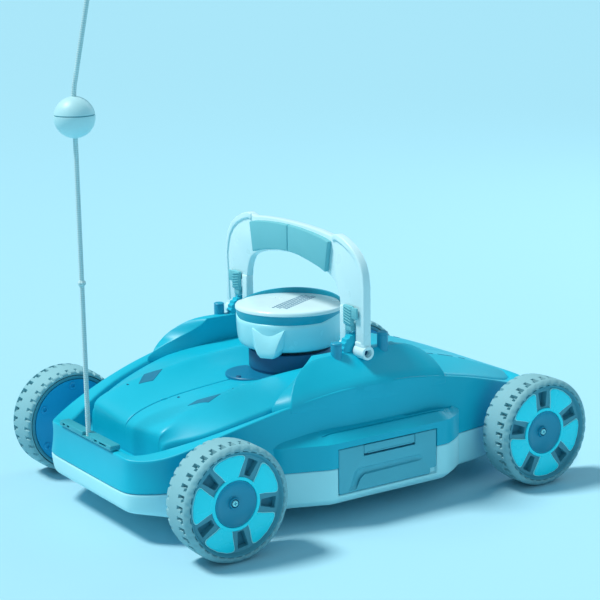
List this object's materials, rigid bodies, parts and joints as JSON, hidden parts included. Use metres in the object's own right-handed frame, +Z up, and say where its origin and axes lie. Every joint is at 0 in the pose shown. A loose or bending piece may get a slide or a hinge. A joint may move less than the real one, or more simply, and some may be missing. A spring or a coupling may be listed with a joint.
{
  "type": "robotic pool cleaner",
  "caption": "Low four-wheeled cordless pool cleaner with a tilting carry handle, side filter drawers, a raised outlet head and a tether rope with a ball float.",
  "frame": {"origin": "on the ground under the middle of the body, without the tether", "axes": "+Z up, nose and tether toward -Y, +X toward the left side of the vehicle; the wheels spin about X"},
  "size_m": [0.3912, 0.544, 0.5895],
  "materials": {
    "shell_turquoise": "moulded, satin",
    "hull_white": "moulded, satin",
    "handle_white": "moulded, satin",
    "grip_grey": "soft overmould",
    "door_grey": "fine spark texture",
    "mesh_white": "fine mesh",
    "dark_blue": "moulded, satin",
    "button_dark": "matte",
    "inner_grey": "moulded",
    "axle_steel": "turned",
    "underside_grey": "moulded",
    "lip_rubber": "soft rubber",
    "rim_grey": "moulded",
    "tyre_blue": "soft rubber",
    "wheel_cyan": "moulded, gloss",
    "cover_blue": "moulded, satin",
    "rope_white": "braided",
    "float_white": "moulded, satin"
  },
  "bodies": {
    "chassis": {"upper_shell": "shell_turquoise", "lower_hull": "hull_white", "top_cover": "shell_turquoise", "fin_left": "shell_turquoise", "fin_right": "shell_turquoise", "pivot_pin_left": "axle_steel", "pivot_pin_right": "axle_steel", "head_neck": "shell_turquoise", "head_bowl": "hull_white", "head_ring": "shell_turquoise", "head_lid": "hull_white", "power_pad": "dark_blue", "motor_box": "inner_grey", "battery_pack": "inner_grey", "drive_unit": "inner_grey", "underside_plate": "underside_grey", "intake_lip_front": "lip_rubber", "intake_lip_rear": "lip_rubber", "axle_front": "axle_steel", "axle_rear": "axle_steel", "anchor_bar": "door_grey", "rope": "rope_white", "rope_bead": "rope_white", "float_lower": "float_white", "float_upper": "float_white", "rope_knot": "rope_white"},
    "handle": {"handle_frame": "handle_white", "handle_grip": "grip_grey", "handle_foot_left": "handle_white", "handle_foot_right": "handle_white"},
    "lock_left": {"lock_left": "grip_grey"},
    "lock_right": {"lock_right": "grip_grey"},
    "drawer_left": {"drawer_left": "door_grey", "filter_left": "mesh_white"},
    "drawer_right": {"drawer_right": "door_grey", "filter_right": "mesh_white"},
    "latch_left": {"latch_left": "door_grey"},
    "latch_right": {"latch_right": "door_grey"},
    "pump_impeller": {"impeller": "inner_grey"},
    "power_button": {"power_button": "button_dark"},
    "wheel_front_left": {"rim_front_left": "rim_grey", "tyre_front_left": "tyre_blue", "cap_front_left": "dark_blue", "face_front_left": "wheel_cyan", "cover_front_left": "cover_blue"},
    "wheel_front_right": {"rim_front_right": "rim_grey", "tyre_front_right": "tyre_blue", "cap_front_right": "dark_blue", "face_front_right": "wheel_cyan", "cover_front_right": "cover_blue"},
    "wheel_rear_left": {"rim_rear_left": "rim_grey", "tyre_rear_left": "tyre_blue", "cap_rear_left": "dark_blue", "face_rear_left": "wheel_cyan", "cover_rear_left": "cover_blue"},
    "wheel_rear_right": {"rim_rear_right": "rim_grey", "tyre_rear_right": "tyre_blue", "cap_rear_right": "dark_blue", "face_rear_right": "wheel_cyan", "cover_rear_right": "cover_blue"}
  },
  "joints": [
    {"name": "handle_tilt", "type": "hinge", "parent": "chassis", "child": "handle", "pos_m": [0, 0, 0.169], "axis": [1, 0, 0], "range_deg": [-38, 30]},
    {"name": "lock_left_slide", "type": "slide", "parent": "handle", "child": "lock_left", "axis": [0, 0, 1], "range_m": [0, 0.008], "stiffness_N_per_m": 250, "springref_m": -0.004},
    {"name": "lock_right_slide", "type": "slide", "parent": "handle", "child": "lock_right", "axis": [0, 0, 1], "range_m": [0, 0.008], "stiffness_N_per_m": 250, "springref_m": -0.004},
    {"name": "drawer_left_slide", "type": "slide", "parent": "chassis", "child": "drawer_left", "axis": [1, 0, 0], "range_m": [0, 0.058]},
    {"name": "drawer_right_slide", "type": "slide", "parent": "chassis", "child": "drawer_right", "axis": [-1, 0, 0], "range_m": [0, 0.058]},
    {"name": "latch_left_press", "type": "slide", "parent": "drawer_left", "child": "latch_left", "axis": [0, 0, -1], "range_m": [0, 0.002], "stiffness_N_per_m": 400, "springref_m": -0.002},
    {"name": "latch_right_press", "type": "slide", "parent": "drawer_right", "child": "latch_right", "axis": [0, 0, -1], "range_m": [0, 0.002], "stiffness_N_per_m": 400, "springref_m": -0.002},
    {"name": "impeller_spin", "type": "hinge", "parent": "chassis", "child": "pump_impeller", "pos_m": [0, -0.011, 0.128], "axis": [0, 0, 1], "continuous": true},
    {"name": "power_press", "type": "slide", "parent": "chassis", "child": "power_button", "axis": [0, 0, -1], "range_m": [0, 0.0012], "stiffness_N_per_m": 500, "springref_m": -0.001},
    {"name": "spin_front_left", "type": "hinge", "parent": "chassis", "child": "wheel_front_left", "pos_m": [0.1751, -0.1981, 0.06], "axis": [1, 0, 0], "continuous": true},
    {"name": "spin_front_right", "type": "hinge", "parent": "chassis", "child": "wheel_front_right", "pos_m": [-0.1751, -0.1981, 0.06], "axis": [1, 0, 0], "continuous": true},
    {"name": "spin_rear_left", "type": "hinge", "parent": "chassis", "child": "wheel_rear_left", "pos_m": [0.1751, 0.1981, 0.06], "axis": [1, 0, 0], "continuous": true},
    {"name": "spin_rear_right", "type": "hinge", "parent": "chassis", "child": "wheel_rear_right", "pos_m": [-0.1751, 0.1981, 0.06], "axis": [1, 0, 0], "continuous": true}
  ]
}
